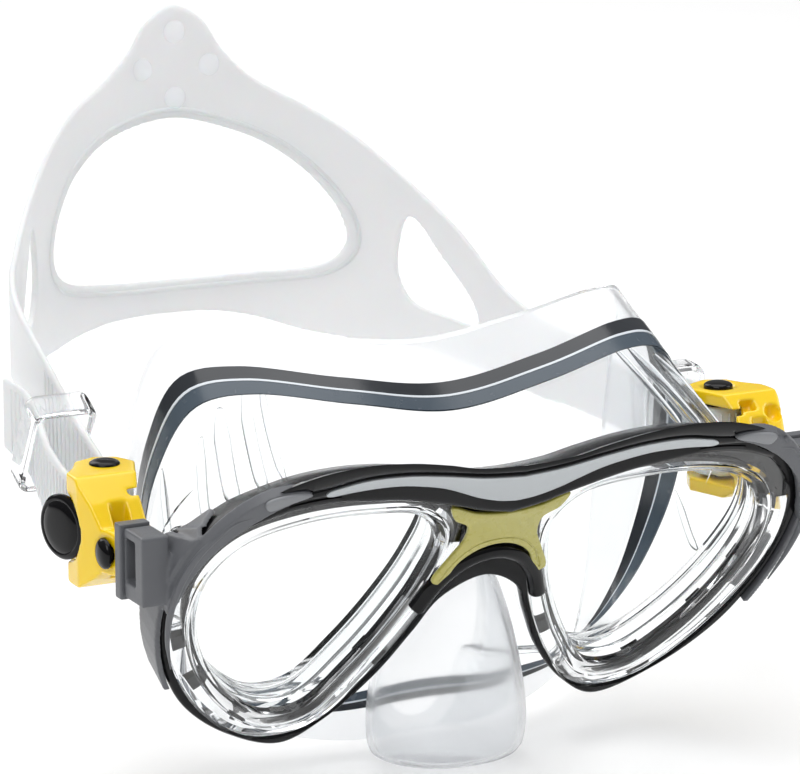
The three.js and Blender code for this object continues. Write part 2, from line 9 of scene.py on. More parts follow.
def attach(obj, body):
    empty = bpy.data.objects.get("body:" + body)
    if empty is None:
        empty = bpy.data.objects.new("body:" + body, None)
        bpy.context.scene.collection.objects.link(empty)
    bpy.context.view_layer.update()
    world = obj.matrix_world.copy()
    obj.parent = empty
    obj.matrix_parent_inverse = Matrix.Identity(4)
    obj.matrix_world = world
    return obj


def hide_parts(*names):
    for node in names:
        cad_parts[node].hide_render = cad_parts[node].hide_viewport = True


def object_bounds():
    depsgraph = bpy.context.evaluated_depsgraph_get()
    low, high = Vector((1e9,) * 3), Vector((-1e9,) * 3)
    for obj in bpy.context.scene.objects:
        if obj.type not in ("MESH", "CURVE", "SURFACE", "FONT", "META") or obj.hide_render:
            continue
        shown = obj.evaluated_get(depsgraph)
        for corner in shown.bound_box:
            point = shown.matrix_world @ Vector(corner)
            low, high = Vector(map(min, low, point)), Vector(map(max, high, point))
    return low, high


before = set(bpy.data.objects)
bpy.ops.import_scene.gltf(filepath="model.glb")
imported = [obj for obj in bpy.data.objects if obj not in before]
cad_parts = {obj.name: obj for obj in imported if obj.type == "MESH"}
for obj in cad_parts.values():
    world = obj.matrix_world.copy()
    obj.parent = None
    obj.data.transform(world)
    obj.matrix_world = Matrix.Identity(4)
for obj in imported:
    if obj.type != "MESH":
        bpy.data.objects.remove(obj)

cad_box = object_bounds()

# ---------------------------------------------------------------- places

# Shapes are drawn in millimetres, from the lens frame's lowest point, and PART moves them to the
# part's own frame. LENS_PLANE also leans them: X across the lenses, Y up their plane, Z outwards.
SEAL_CENTRE = Vector((0, 24, 46))
TO_METRES = Matrix.Scale(0.001, 4)
TO_MILLIMETRES = Matrix.Scale(1000, 4)
PART = TO_METRES @ Matrix.Translation(-SEAL_CENTRE)
LEAN = Matrix.Rotation(math.radians(118.5), 4, "X")
LENS_PLANE = PART @ LEAN
MIRROR = Matrix.Scale(-1, 4, (1, 0, 0))
UPRIGHT = Matrix.Rotation(math.pi / 2, 4, "X")
SIDES = {"right": 1, "left": -1}
GAP = 0.3

# The right buckle. PIVOT, BUTTON_CENTRE and HUB_OUTER are measured from its roller's centre.
ROLLER_CENTRE = Vector((79.8, 7.3, 58.2))
PIVOT = Vector((0, -19.2, -2.2))
BUCKLE_YAW = math.atan2(0.28, 0.96)
BUTTON_CENTRE = Vector((12.3, -2.6, 0))
ROLLER_HALF = 9
ROLLER_RADIUS = 3.9
FLUTES = 12
FLUTE_DEPTH = 0.35
HUB_OUTER = 12.6

# Depths of the front's pieces, positive outwards. Behind COVER_FRONT the brow comes down by
# BROW_SLOPE for each millimetre of depth, in full above BROW_FULL and not at all below BROW_START.
COVER_FRONT = 4.0
LENS_FRONT, LENS_BACK, FRAME_BACK = -3.0, -6.0, -10.0
BEZEL_BACK = -1.6
BROW_SLOPE, BROW_START, BROW_FULL = 0.87, 64, 82

# The clear rim's width beside the nose, and how much wider it is above a lens and at the temple.
RIM_WIDTH, RIM_ABOVE, RIM_TEMPLE = 6.2, 2.6, 1.3

# Outlines in the lens plane, as (across, up). FRAME_OUTLINE and TRIM_OUTLINE are right halves.
LENS_OUTLINE = [
    (15.5, 62), (21, 68.8), (34, 71.3), (50, 71), (63, 67), (69.5, 59), (70.8, 48), (66.5, 34),
    (57, 20), (46.5, 11.9), (37.5, 12.6), (29, 23.5), (21.5, 37.5), (17, 50),
]
FRAME_OUTLINE = [
    (0, 84.8), (12, 85.8), (20, 88), (30, 90.2), (40, 91), (50, 90.2), (58, 88), (66, 84.6),
    (73.6, 77.6), (79.3, 66), (80.6, 52), (77.5, 36),
    (69.5, 20.5), (56, 8.5), (41, 2.6), (31, 8.8), (21, 21), (14.5, 33.5), (9.5, 43.5), (0, 48.5),
]
# The brow, right half, as heights at each distance from the middle.
BROW_TOP = [(0, 84.9), (12, 85.9), (20, 88.1), (30, 90.2), (40, 91), (50, 90.3), (58, 88), (67, 83.6)]
BROW_LOW = [(0, 69.8), (8, 71.6), (13, 73.4), (18, 75), (24, 76.8), (30, 78.2), (36, 79), (46, 80.2),
            (52, 80), (58, 79), (67, 75.6)]
INLAY_TOP = [(0, 82), (10, 83), (20, 85), (30, 86.6), (40, 86.8), (48.6, 85.2), (58, 83.6), (67, 79.8)]
INLAY_LOW = [(0, 74.2), (4, 74.7), (10, 76.6), (15, 79), (20, 81.2), (26, 82.8), (32, 83.8),
             (40, 83.9), (48.6, 83.2), (58, 82.4), (67, 79)]
INLAY_END = 49.4
TRIM_OUTLINE = [
    (0, 69.4), (8, 70.4), (15, 73), (13.4, 69), (9.6, 66.4), (9.4, 62), (11.6, 57.4),
    (14.6, 50.2), (12, 49.2), (8.8, 55.6), (4.4, 58.9), (0, 59.8),
]
TRIM_GROOVE = [
    (-12.9, 50.6), (-10, 56.6), (-5.4, 60.6), (0, 61.6), (5.4, 60.6), (10, 56.6), (12.9, 50.6),
]
NOSE_ARCH = [
    (-15.6, 41), (-12.4, 48.4), (-7, 54.2), (0, 56.4), (7, 54.2), (12.4, 48.4), (15.6, 41),
]
BRACKET_OUTLINE = [
    (53, 85.6), (58, 86.6), (64, 85.4), (71, 80.6), (77.2, 72.4), (80.6, 64), (81.8, 57),
    (81.2, 53.6), (79.6, 56.4), (77.8, 63), (74.6, 69.6), (69, 76), (62, 81),
]
BRACKET_NOTCHES = [
    [(64.4, 84.4), (68.9, 81.2), (67.2, 86.6)],
    [(71.4, 79.8), (76.4, 75.8), (76, 80.6)],
    [(79.4, 66.4), (84, 60), (84, 66)],
]
BRACKET_SPEAR = [(53.4, 85.6), (58, 86.4), (63.4, 85.5), (64.4, 84.6), (63.2, 82.6), (58, 84)]
BRACKET_RIDGE = [
    (66.5, 80.6), (70.5, 79.6), (73.6, 76.4), (77.2, 71.4), (79.8, 64), (80.6, 55), (79.6, 46),
    (77, 37),
]

# The skirt's right half: its edge at the face as (x, y, z), and at the frame in the lens plane.
SEAL_POINTS = [
    (0, 8, 91), (26, 9, 94), (49, 14, 96.6), (59.4, 20, 94), (63.5, 28.5, 78), (64, 34, 56),
    (62.4, 35, 36), (57, 30, 16), (46, 20, 3), (24, 12, -4), (0, 11, -5.5),
]
SKIRT_START = [
    (0, 69.6), (24, 74), (47, 75.6), (63, 71), (72, 61), (74.5, 50), (71, 36), (61, 20), (46, 8),
    (24, 8), (0, 12),
]
SKIRT_AROUND = 210
WALL = 1.6
HAZE_START = 0.62
# The nose pocket from the bottom up, as (height, half width, front, back).
NOSE_SECTIONS = [
    (-5.4, 15.5, -17, 10), (-3.5, 18.2, -21, 12), (4, 18.6, -24, 14), (14, 17, -25, 14),
    (24, 14.2, -24.6, 10), (33, 11, -23, 4), (40, 7.6, -20.4, -4), (43, 5, -18, -8),
]
# The headband's stations from the back of the head to the buckle, as (x, y, low edge, high edge).
BAND_RIGHT = [
    (7.6, 145.8, 68.2, 145), (13.3, 144.8, 67.6, 136.5), (21, 142.3, 66, 129),
    (32, 136.3, 62.5, 122.4), (41, 129, 61, 116), (51, 118, 59.5, 105.5), (60, 103.5, 57, 92.8),
    (66.5, 91, 54.5, 79.5), (71, 82, 52.5, 74), (77, 64, 50.4, 70), (78.5, 44, 49.9, 67.6),
    (76, 24, 49.7, 66.9),
]
BAND_LEFT = [
    (-7.6, 145.8, 68.6, 145), (-13.3, 144.8, 68.6, 137.5), (-21, 142.3, 68.4, 131.5),
    (-32, 136.3, 67.4, 126), (-41, 129, 66.4, 119.5), (-51, 118, 66.4, 110),
    (-60, 103.5, 68, 104), (-66.5, 91, 70.6, 101), (-71, 82, 73, 99), (-77, 64, 75, 95.6),
    (-78.5, 44, 67.6, 87), (-75.8, 26, 54.6, 72.6), (-74.9, 15, 49.9, 67.2),
]
BAND_PEAK = (0, 146.3, 68.4, 148.8)
TAIL_RIGHT = [(85.6, 22, 50, 67), (85.6, 38, 51, 68), (87.4, 47, 52.6, 68)]
TAIL_LEFT = [
    (-85.2, 15, 49.9, 67.2), (-85.6, 25, 53.4, 71), (-85.6, 38, 62.4, 81), (-87.4, 47, 66, 83),
]
# The split at the back of the headband as (x, z), and a side opening about its own centre.
BIG_HOLE = [
    (0, 119.6), (12, 116.8), (24, 111.6), (34, 103), (40, 93), (40.6, 85.4), (36, 80.4), (20, 78),
    (0, 77.4), (-20, 78.6), (-36, 82.6), (-41, 88), (-40.6, 96), (-34, 107), (-24, 114.4),
    (-12, 118.4),
]
SMALL_HOLE = [(-8, 14), (-11, 0), (-7, -8), (4, -11), (13, -12), (12, -7), (1, 6), (-5, 13)]
WRAP_RADIUS = 5.3
BAND_THICKNESS = 1.8
RIB_PITCH = 1.7


# ---------------------------------------------------------------- curves

def spline(points, closed, count):
    """Evenly spaced points on a centripetal Catmull-Rom curve through the given ones."""
    p = np.array(points, float)
    if closed:
        ends = np.vstack([p[-1:], p, p[:2]])
    else:
        ends = np.vstack([2 * p[0] - p[1], p, 2 * p[-1] - p[-2]])
    dense = []
    for a, b, c, d in zip(ends, ends[1:], ends[2:], ends[3:]):
        knots = np.cumsum([0] + [max(np.linalg.norm(q - r), 1e-6) ** 0.5
                                 for q, r in ((a, b), (b, c), (c, d))])
        for t in np.linspace(knots[1], knots[2], 24, endpoint=False):
            ab = (a * (knots[1] - t) + b * t) / knots[1]
            bc = (b * (knots[2] - t) + c * (t - knots[1])) / (knots[2] - knots[1])
            cd = (c * (knots[3] - t) + d * (t - knots[2])) / (knots[3] - knots[2])
            abc = (ab * (knots[2] - t) + bc * t) / knots[2]
            bcd = (bc * (knots[3] - t) + cd * (t - knots[1])) / (knots[3] - knots[1])
            dense.append((abc * (knots[2] - t) + bcd * (t - knots[1])) / (knots[2] - knots[1]))
    dense.append(p[0] if closed else p[-1])
    dense = np.array(dense)
    reach = np.concatenate([[0], np.cumsum(np.linalg.norm(np.diff(dense, axis=0), axis=1))])
    wanted = np.linspace(0, reach[-1], count, endpoint=not closed)
    return np.stack([np.interp(wanted, reach, axis) for axis in dense.T], axis=1)


def both_halves(half):
    """A whole outline from its right half, whose first and last points are on the middle."""
    return list(half) + [(-p[0], *p[1:]) for p in reversed(half[1:-1])]


def flipped(outline):
    """The outline's mirror image, run the other way round."""
    return (outline * np.array([-1, 1]))[::-1]


def offset(outline, distance):
    """Moves a closed outline outwards; distance is a number or a function of the normal."""
    along = np.roll(outline, -1, axis=0) - np.roll(outline, 1, axis=0)
    normal = np.stack([along[:, 1], -along[:, 0]], axis=1)
    normal /= np.linalg.norm(normal, axis=1)[:, None]
    x, y = outline.T
    area = np.sum(x * np.roll(y, -1) - np.roll(x, -1) * y)
    normal *= math.copysign(1, area)
    reach = distance(normal) if callable(distance) else np.full(len(outline), distance)
    return outline + normal * reach[:, None]


def at_depth(outline, depth):
    return np.column_stack([outline, np.full(len(outline), depth)])


def circle(count):
    """Points on the unit circle, anticlockwise."""
    angles = np.linspace(0, 2 * math.pi, count, endpoint=False)
    return [(math.cos(a), math.sin(a)) for a in angles]


# ---------------------------------------------------------------- meshes

def mesh_of(vertices, faces):
    mesh = bpy.data.meshes.new("shape")
    mesh.from_pydata([tuple(map(float, v)) for v in vertices], [], faces)
    work = bmesh.new()
    work.from_mesh(mesh)
    bmesh.ops.remove_doubles(work, verts=work.verts, dist=1e-5)
    bmesh.ops.recalc_face_normals(work, faces=work.faces)
    work.to_mesh(mesh)
    work.free()
    return mesh


def loft(rings, closed=False, fan=False):
    """A skin through closed rings, with end caps unless the rings close up; fan caps for bent ends."""
    rings = [np.asarray(ring) for ring in rings]
    count = len(rings[0])
    vertices = np.concatenate(rings)
    faces = []
    last = len(rings) if closed else len(rings) - 1
    for r in range(last):
        for i in range(count):
            j = (i + 1) % count
            s = (r + 1) % len(rings)
            faces.append((r * count + i, r * count + j, s * count + j, s * count + i))
    ends = [] if closed else [0, len(rings) - 1]
    for r in ends:
        if fan:
            vertices = np.vstack([vertices, rings[r].mean(axis=0)])
            hub = len(vertices) - 1
            faces += [(r * count + i, r * count + (i + 1) % count, hub) for i in range(count)]
        else:
            faces.append(tuple(r * count + i for i in range(count)))
    return mesh_of(vertices, faces)


def lathe(profile, segments=64):
    """Turns (radius, height) points round Z; the profile starts and ends on the axis."""
    inner = profile[1:-1]
    vertices = [(0, 0, profile[0][1]), (0, 0, profile[-1][1])]
    for radius, height in inner:
        vertices += [(radius * c, radius * s, height) for c, s in circle(segments)]
    faces = []
    for i in range(segments):
        j = (i + 1) % segments
        end = 2 + (len(inner) - 1) * segments
        faces.append((0, 2 + j, 2 + i))
        faces.append((1, end + i, end + j))
        for r in range(len(inner) - 1):
            low = 2 + r * segments
            high = low + segments
            faces.append((low + i, low + j, high + j, high + i))
    return mesh_of(vertices, faces)


def swept_rod(path, radius, segments=16):
    """A round rod along a path; radius is a number or one for each point of the path."""
    path = np.array(path, float)
    along = np.gradient(path, axis=0)
    along /= np.linalg.norm(along, axis=1)[:, None]
    radii = np.broadcast_to(radius, len(path))
    side = np.cross(along[0], (0.31, 0.2, 0.93))
    rings = []
    for point, ahead, reach in zip(path, along, radii):
        side = side - ahead * np.dot(side, ahead)
        side /= np.linalg.norm(side)
        other = np.cross(ahead, side)
        rings.append([point + reach * (side * c + other * s) for c, s in circle(segments)])
    return loft(rings)


def dome(radius, rise, base, skirt=0.0):
    """A lathe profile: a shallow dome of that radius over a flat base."""
    profile = [(0, base), (radius, base), (radius, skirt)]
    for step in range(1, 9):
        angle = step / 8 * math.pi / 2
        profile.append((radius * math.cos(angle), skirt + rise * math.sin(angle)))
    return profile[:-1] + [(0, skirt + rise)]


def block(low, high):
    corners = [(x, y, z) for z in (low[2], high[2]) for y in (low[1], high[1])
               for x in (low[0], high[0])]
    faces = [(0, 2, 3, 1), (4, 5, 7, 6), (0, 1, 5, 4), (2, 6, 7, 3), (0, 4, 6, 2), (1, 3, 7, 5)]
    return mesh_of(corners, faces)


def prism(outline, low, high):
    return loft([at_depth(np.array(outline, float), low), at_depth(np.array(outline, float), high)])


def plate(outlines, low, high, bevel):
    """A flat plate with rounded edges; the outlines after the first are holes in it."""
    curve = bpy.data.curves.new("plate", "CURVE")
    curve.dimensions = "2D"
    curve.fill_mode = "BOTH"
    curve.extrude = (high - low) / 2 - bevel
    curve.bevel_depth = bevel
    curve.bevel_resolution = 3
    curve.offset = -bevel
    for outline in outlines:
        line = curve.splines.new("POLY")
        line.points.add(len(outline) - 1)
        for point, (x, y) in zip(line.points, outline):
            point.co = (x, y, 0, 1)
        line.use_cyclic_u = True
    holder = bpy.data.objects.new("plate", curve)
    bpy.context.scene.collection.objects.link(holder)
    mesh = evaluated(holder)
    bpy.data.objects.remove(holder)
    mesh.transform(Matrix.Translation((0, 0, (high + low) / 2)))
    work = bmesh.new()
    work.from_mesh(mesh)
    bmesh.ops.remove_doubles(work, verts=work.verts, dist=1e-4)
    bmesh.ops.recalc_face_normals(work, faces=work.faces)
    work.to_mesh(mesh)
    work.free()
    return mesh


def evaluated(obj):
    graph = bpy.context.evaluated_depsgraph_get()
    graph.update()
    return bpy.data.meshes.new_from_object(obj.evaluated_get(graph), depsgraph=graph)


def with_modifiers(mesh, add):
    """A mesh with modifiers put on by add(object) and applied."""
    holder = bpy.data.objects.new("holder", mesh)
    bpy.context.scene.collection.objects.link(holder)
    add(holder)
    result = evaluated(holder)
    bpy.data.objects.remove(holder)
    return result


def add_boolean(holder, tool, operation):
    step = holder.modifiers.new("step", "BOOLEAN")
    step.operation = operation
    step.solver = "EXACT"
    step.object = tool


def combined(mesh, others, operation):
    """A mesh joined with, cut by or kept inside each of the others in turn."""
    for other in others:
        tool = bpy.data.objects.new("tool", other)
        bpy.context.scene.collection.objects.link(tool)
        mesh = with_modifiers(mesh, lambda holder: add_boolean(holder, tool, operation))
        bpy.data.objects.remove(tool)
    return mesh


def cut(mesh, *others):
    return combined(mesh, others, "DIFFERENCE")


def softened(mesh, voxel, rounds):
    """Joins overlapping shells into one and rounds every edge, as a mould does."""
    def add(holder):
        remesh = holder.modifiers.new("remesh", "REMESH")
        remesh.mode = "VOXEL"
        remesh.voxel_size = voxel
        smooth = holder.modifiers.new("smooth", "SMOOTH")
        smooth.factor = 0.5
        smooth.iterations = rounds

    return with_modifiers(mesh, add)


def joined(*meshes):
    """Several meshes as one, each kept as its own shell."""
    work = bmesh.new()
    for mesh in meshes:
        work.from_mesh(mesh)
    result = bpy.data.meshes.new("joined")
    work.to_mesh(result)
    work.free()
    return result


def moved(mesh, *matrices):
    """A copy of a mesh, moved by each matrix in turn."""
    copy = mesh.copy()
    for matrix in matrices:
        copy.transform(matrix)
    return copy


def cad_copy(node):
    """A CAD node's mesh in millimetres, in the part's frame."""
    return moved(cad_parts[node].data, TO_MILLIMETRES)


def on_side(place, k):
    """A place on the right, or its mirror image on the left."""
    return place @ MIRROR if k < 0 else place


def mirrored(mesh):
    other = moved(mesh, MIRROR)
    other.flip_normals()
    return other


def add_piece(name, mesh, place, look, body, replaced=(), sharp=35):
    """Puts a mesh in place as a piece that rides on a body; look is a material or a list of them."""
    looks = look if isinstance(look, list) else [look]
    mesh = moved(mesh, place)
    if place.determinant() < 0:
        mesh.flip_normals()
    mesh.materials.clear()
    for material in looks:
        mesh.materials.append(material)
    mesh.polygons.foreach_set("use_smooth", [True] * len(mesh.polygons))
    mesh.set_sharp_from_angle(angle=math.radians(sharp))
    obj = bpy.data.objects.new(name, mesh)
    bpy.context.scene.collection.objects.link(obj)
    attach(obj, body)
    if replaced:
        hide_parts(*replaced)
    return obj


# ---------------------------------------------------------------- materials


def let_lamps_through(material, tint):
    """Lamps reach what lies behind a clear material."""
    tree = material.node_tree
    shader = tree.nodes["Principled BSDF"]
    clear = tree.nodes.new("ShaderNodeBsdfTransparent")
    clear.inputs["Color"].default_value = (tint, tint, tint, 1)
    path = tree.nodes.new("ShaderNodeLightPath")
    either = tree.nodes.new("ShaderNodeMixShader")
    tree.links.new(path.outputs["Is Shadow Ray"], either.inputs["Fac"])
    tree.links.new(shader.outputs["BSDF"], either.inputs[1])
    tree.links.new(clear.outputs["BSDF"], either.inputs[2])
    tree.links.new(either.outputs["Shader"], tree.nodes["Material Output"].inputs["Surface"])


def surface(name, slot, color, second, roughness, spread, grain, bump, stretch=(1, 1, 1), **sockets):
    """A moulded or metal surface: two close tones, uneven gloss and a fine grain in the skin."""
    material = bpy.data.materials.new(name)
    material.use_nodes = True
    tree = material.node_tree
    shader = tree.nodes["Principled BSDF"]
    where = tree.nodes.new("ShaderNodeTexCoord")
    scale = tree.nodes.new("ShaderNodeMapping")
    scale.inputs["Scale"].default_value = stretch
    tree.links.new(where.outputs["Object"], scale.inputs["Vector"])
    fine = tree.nodes.new("ShaderNodeTexNoise")
    fine.inputs["Scale"].default_value = grain
    fine.inputs["Detail"].default_value = 5
    broad = tree.nodes.new("ShaderNodeTexNoise")
    broad.inputs["Scale"].default_value = grain / 12
    for noise in (fine, broad):
        tree.links.new(scale.outputs["Vector"], noise.inputs["Vector"])
    tone = tree.nodes.new("ShaderNodeMix")
    tone.data_type = "RGBA"
    tone.inputs["A"].default_value = (*color, 1)
    tone.inputs["B"].default_value = (*second, 1)
    tree.links.new(broad.outputs["Fac"], tone.inputs["Factor"])
    tree.links.new(tone.outputs["Result"], shader.inputs["Base Color"])
    gloss = tree.nodes.new("ShaderNodeMapRange")
    gloss.inputs["To Min"].default_value = max(0.0, roughness - spread)
    gloss.inputs["To Max"].default_value = roughness + spread
    tree.links.new(fine.outputs["Fac"], gloss.inputs["Value"])
    tree.links.new(gloss.outputs["Result"], shader.inputs["Roughness"])
    grain_bump = tree.nodes.new("ShaderNodeBump")
    grain_bump.inputs["Strength"].default_value = bump
    grain_bump.inputs["Distance"].default_value = 0.0002
    tree.links.new(fine.outputs["Fac"], grain_bump.inputs["Height"])
    tree.links.new(grain_bump.outputs["Normal"], shader.inputs["Normal"])
    for socket, value in sockets.items():
        shader.inputs[socket.replace("_", " ")].default_value = value
    return material


black = surface("black_satin", "black_frame", (0.004, 0.004, 0.0045), (0.007, 0.007, 0.008),
                0.2, 0.06, 900, 0.05, Specular_IOR_Level=0.12)
gloss_black = surface("black_gloss", "gloss_black", (0.003, 0.003, 0.0035), (0.005, 0.005, 0.006),
                      0.05, 0.03, 500, 0.02, Specular_IOR_Level=0.22)
silver = surface("silver_satin", "silver_inlay", (0.5, 0.53, 0.545), (0.43, 0.45, 0.465),
                 0.3, 0.06, 700, 0.08, stretch=(0.12, 1, 1), Metallic=0.55)
olive = surface("olive_trim", "olive_trim", (0.47, 0.42, 0.07), (0.4, 0.37, 0.05),
                0.28, 0.06, 500, 0.05, Coat_Weight=1.0, Coat_Roughness=0.04)
clear_hard = surface("clear_polycarbonate", "clear_frame", (0.99, 0.995, 1), (0.96, 0.97, 0.98),
                     0.03, 0.02, 300, 0.02, Transmission_Weight=1.0, IOR=1.42)
clear_shell = surface("clear_shell", "clear_frame", (0.995, 0.998, 1), (0.975, 0.98, 0.985),
                      0.04, 0.02, 300, 0.02, Transmission_Weight=1.0, IOR=1.14)
glass = surface("lens_glass", "lens_glass", (0.99, 0.998, 0.995), (0.98, 0.99, 0.985),
                0.004, 0.004, 120, 0.0, Transmission_Weight=1.0, IOR=1.03)
clear_soft = surface("clear_silicone", "clear_silicone", (0.985, 0.995, 1), (0.95, 0.965, 0.975),
                     0.06, 0.04, 90, 0.05, Transmission_Weight=1.0, IOR=1.2)
hazy_soft = surface("hazy_silicone", "clear_silicone", (0.955, 0.965, 0.975), (0.92, 0.93, 0.945),
                    0.18, 0.07, 300, 0.08, Transmission_Weight=0.85, IOR=1.14)
for see_through, tint in ((clear_hard, 0.86), (clear_shell, 0.9), (glass, 0.97), (clear_soft, 0.9),
                          (hazy_soft, 0.8)):
    let_lamps_through(see_through, tint)
slate_soft = surface("slate_silicone", "clear_silicone", (0.045, 0.065, 0.09), (0.07, 0.095, 0.12),
                     0.25, 0.08, 400, 0.1)
dark_soft = surface("dark_silicone", "clear_silicone", (0.014, 0.017, 0.022), (0.024, 0.028, 0.035),
                    0.16, 0.06, 400, 0.08)
pale_soft = surface("pale_silicone", "clear_silicone", (0.75, 0.8, 0.84), (0.68, 0.72, 0.77),
                    0.16, 0.05, 400, 0.08)
frosted = surface("frosted_silicone", "frosted_silicone", (0.93, 0.945, 0.955), (0.89, 0.905, 0.915),
                  0.36, 0.08, 600, 0.12, Transmission_Weight=0.25, IOR=1.35,
                  Subsurface_Weight=0.15, Subsurface_Scale=0.003)
let_lamps_through(frosted, 0.35)
grey = surface("grey_plastic", "grey_plastic", (0.105, 0.109, 0.12), (0.13, 0.135, 0.145),
               0.38, 0.06, 1500, 0.2, Specular_IOR_Level=0.35)
pale_grey = surface("pale_grey_plastic", "grey_plastic", (0.2, 0.205, 0.22), (0.24, 0.25, 0.26),
                    0.34, 0.06, 1500, 0.15)
yellow = surface("yellow_plastic", "yellow_plastic", (0.97, 0.67, 0.005), (0.94, 0.62, 0.004),
                 0.24, 0.05, 900, 0.08, Coat_Weight=0.3, Coat_Roughness=0.1,
                 Subsurface_Weight=0.12, Subsurface_Scale=0.002)
dark_metal = surface("dark_metal", "dark_metal", (0.05, 0.05, 0.055), (0.08, 0.08, 0.085),
                     0.3, 0.08, 900, 0.1, stretch=(1, 1, 0.2), Metallic=0.9)


# ---------------------------------------------------------------- front of the mask

def rim_reach(normal):
    """How far the clear rim's outer edge stands off a lens."""
    above, temple = np.maximum(0, normal[:, 1]), np.maximum(0, normal[:, 0])
    return RIM_WIDTH + RIM_ABOVE * above ** 2 + RIM_TEMPLE * temple ** 2


lens = spline(LENS_OUTLINE, True, 180)
ring_outer = offset(lens, rim_reach)
frame_outline = spline(both_halves(FRAME_OUTLINE), True, 360)
bracket_outline = spline(BRACKET_OUTLINE, True, 160)


def both_lenses(outline):
    """An outline round the right lens, and its mirror image round the left one."""
    return [outline, flipped(outline)]


def ring_section(width):
    """Across the clear rim from the lens outwards: a low lip, a slope, a groove and a land."""
    return [
        (0, -2.7), (0, -1.3), (0.25, -0.95), (0.7, -0.75), (1.5, -0.3), (2.1, 0.35), (2.5, 0.5),
        (2.9, 0.4), (3.05, 0.05), (3.3, 0.05), (3.45, 0.4), (3.8, 0.5), (width - 0.6, 0.5),
        (width - 0.15, 0.35), (width, 0), (width, -2.7),
    ]


def swept_band(inner, outer, section):
    """A closed band between two matching outlines with a section drawn across it."""
    rings = []
    for a, b in zip(inner, outer):
        width = np.linalg.norm(b - a)
        across = (b - a) / width
        rings.append([(*(a + across * x), z) for x, z in section(width)])
    return loft(rings, closed=True)


def frame_at(outline, depth):
    """A frame outline at a depth: the brow leans away behind its front edge."""
    share = np.clip((outline[:, 1] - BROW_START) / (BROW_FULL - BROW_START), 0, 1)
    lean = share * share * (3 - 2 * share)
    height = outline[:, 1] - BROW_SLOPE * (COVER_FRONT - depth) * lean
    return at_depth(np.column_stack([outline[:, 0], height]), depth)


def rim_window(normal):
    """How far the black frame's window stands off a lens: further beside it than above it."""
    return 5.4 - 2.2 * np.maximum(0, normal[:, 1]) ** 2


def rim_ties():
    """Short black ties between the outer frame and the ring round each lens, at shares of it."""
    ties = []
    for share in (0.04, 0.2, 0.34, 0.45, 0.53, 0.63, 0.8, 0.93):
        i = int(share * len(lens))
        along = lens[(i + 1) % len(lens)] - lens[i - 1]
        turn = Matrix.Rotation(math.atan2(along[1], along[0]), 4, "Z")
        ties.append(moved(block((-2.2, -7.4, -5.6), (2.2, 7.4, -3.8)), turn,
                          Matrix.Translation((*lens[i], 0))))
    outer = prism(offset(lens, 5.6), -12, 0)
    inner = prism(offset(lens, 2.6), -12, 0)
    return cut(combined(combined(ties[0], ties[1:], "UNION"), [outer], "INTERSECT"), inner)


def frame_block(edges):
    """The whole frame as a block through (distance drawn in, depth) edges, from the back."""
    return loft([frame_at(offset(frame_outline, -reach), depth) for reach, depth in edges])


def make_black_rim():
    """The black frame: deep over the brow, and a thin bezel lower down."""
    whole = frame_block([(0.9, FRAME_BACK), (0.3, -9.7), (0, -9), (0, 0.2), (0.15, 0.6), (0.5, 0.9),
                         (0.9, 1)])
    seats = [prism(outline, -3, 4) for outline in both_lenses(offset(ring_outer, GAP))]
    windows = [prism(outline, -12, -2) for outline in both_lenses(offset(lens, rim_window))]
    wedge = [(-20, -12), (74, -12), (56, BEZEL_BACK), (-20, BEZEL_BACK)]
    below = loft([[(u, v, w) for v, w in wedge] for u in (-100, 100)])
    rim = cut(whole, *seats, *windows, below)
    ring = plate([offset(lens, 3.2), offset(lens, 2.5)], -4.7, -3.4, 0.2)
    ties = joined(ring, rim_ties())
    add_piece("black_rim", joined(rim, ties, mirrored(ties)), LENS_PLANE, black, "mask",
              ["inner_frame"])


def make_clear_rims():
    """The clear collar under the bezel, and the faceted clear rim round each lens."""
    whole = frame_block([(1.6, -9.8), (1.0, -9.2), (0.7, -3)])
    windows = [prism(outline, -12, 1)
               for outline in both_lenses(offset(lens, lambda n: rim_window(n) + 0.4))]
    add_piece("clear_collar", cut(whole, *windows), LENS_PLANE, clear_shell, "mask")
    rim = swept_band(lens, ring_outer, ring_section)
    add_piece("clear_rim", joined(rim, mirrored(rim)), LENS_PLANE, clear_hard, "mask",
              ["front_frame"])


def make_lenses():
    """Each pane, and the soft seat behind it."""
    pane = plate([offset(lens, 2)], LENS_BACK, LENS_FRONT, 0.35)
    seat = plate([offset(lens, 2), offset(lens, 0.2)], FRAME_BACK + 0.2, LENS_BACK - GAP, 0.4)
    for side, k in SIDES.items():
        place = on_side(LENS_PLANE, k)
        add_piece("lens_pane_" + side, pane, place, glass, "mask", ["lens_" + side])
        add_piece("lens_seat_" + side, seat, place, clear_soft, "mask", ["lens_gasket_" + side])


def heights(line, across):
    """Heights of a half profile at distances from the middle, drawn smooth over the middle."""
    dense = spline(line, False, 400)
    return np.interp(np.abs(across), dense[:, 0], dense[:, 1])


def brow_section(low, bar_low, bar_high, top):
    """Across the brow: a lower ridge, the inlay's groove, then a band that rolls back and down."""
    back = top - BROW_SLOPE * (COVER_FRONT - 1.3)
    return [
        (low, 1.3), (low, 2.2), (low + 0.25, 2.8), (low + 0.8, 3.3), (low + 1.5, 3.5),
        (low + 2.2, 3.45), (bar_low - 0.9, 3.05), (bar_low - 0.3, 2.9), (bar_low - 0.1, 3.3),
        (bar_low + 0.1, 3.5), (bar_high - 0.1, 3.5), (bar_high + 0.1, 3.3), (bar_high + 0.3, 3.1),
        (bar_high + 0.8, 3.6), (bar_high + 1.3, 3.9), (top - 0.9, 4.1), (top - 0.3, 3.95),
        (top, 3.7), (top - 0.6, 3.1), (back, 1.3),
    ]


